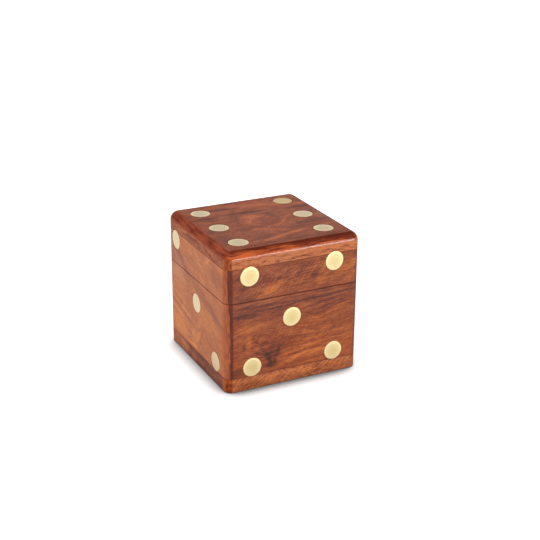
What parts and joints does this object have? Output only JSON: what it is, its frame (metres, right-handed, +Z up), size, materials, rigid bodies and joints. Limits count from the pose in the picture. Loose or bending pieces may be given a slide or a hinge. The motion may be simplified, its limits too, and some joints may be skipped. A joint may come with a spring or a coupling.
{
  "type": "dice box",
  "caption": "Cube-shaped rosewood dice box with rounded edges, flush round brass spots on its faces like a die, and a lid that swings back on butt hinges.",
  "frame": {"origin": "middle of the underside of the closed box", "axes": "+Z up; +Y from the front, which has five spots, to the hinged back; +X to the right as seen from the front"},
  "size_m": [0.0636, 0.0636, 0.0635],
  "materials": {
    "side_wood": "clear satin lacquer over oiled rosewood, fine dark streaks",
    "top_wood": "clear satin lacquer over oiled rosewood, grain from side to side",
    "bottom_wood": "clear satin lacquer over oiled rosewood",
    "spot_brass": "sanded flush and lacquered, fine lines",
    "hinge_brass": "rolled, satin",
    "screw_brass": "turned, satin"
  },
  "bodies": {
    "base": {"base_front": "side_wood", "base_back": "side_wood", "base_left": "side_wood", "base_right": "side_wood", "bottom_board": "bottom_wood", "front_spot_3": "spot_brass", "front_spot_4": "spot_brass", "front_spot_5": "spot_brass", "left_spot_2": "spot_brass", "left_spot_3": "spot_brass", "right_spot_3": "spot_brass", "right_spot_4": "spot_brass", "back_spot_2": "spot_brass", "under_spot_1": "spot_brass", "hinge_left_base_leaf": "hinge_brass", "hinge_left_pin": "hinge_brass", "hinge_right_base_leaf": "hinge_brass", "hinge_right_pin": "hinge_brass", "hinge_left_base_screws": "screw_brass", "hinge_right_base_screws": "screw_brass"},
    "lid": {"lid_front": "side_wood", "lid_back": "side_wood", "lid_left": "side_wood", "lid_right": "side_wood", "top_board": "top_wood", "top_spot_1": "spot_brass", "top_spot_2": "spot_brass", "top_spot_3": "spot_brass", "top_spot_4": "spot_brass", "top_spot_5": "spot_brass", "top_spot_6": "spot_brass", "front_spot_1": "spot_brass", "front_spot_2": "spot_brass", "left_spot_1": "spot_brass", "right_spot_1": "spot_brass", "right_spot_2": "spot_brass", "back_spot_1": "spot_brass", "hinge_left_lid_leaf": "hinge_brass", "hinge_right_lid_leaf": "hinge_brass", "hinge_left_lid_screws": "screw_brass", "hinge_right_lid_screws": "screw_brass"}
  },
  "joints": [
    {"name": "lid_hinge", "type": "hinge", "parent": "base", "child": "lid", "pos_m": [0, 0.03025, 0.04095], "axis": [-1, 0, 0], "range_deg": [0, 100]}
  ]
}
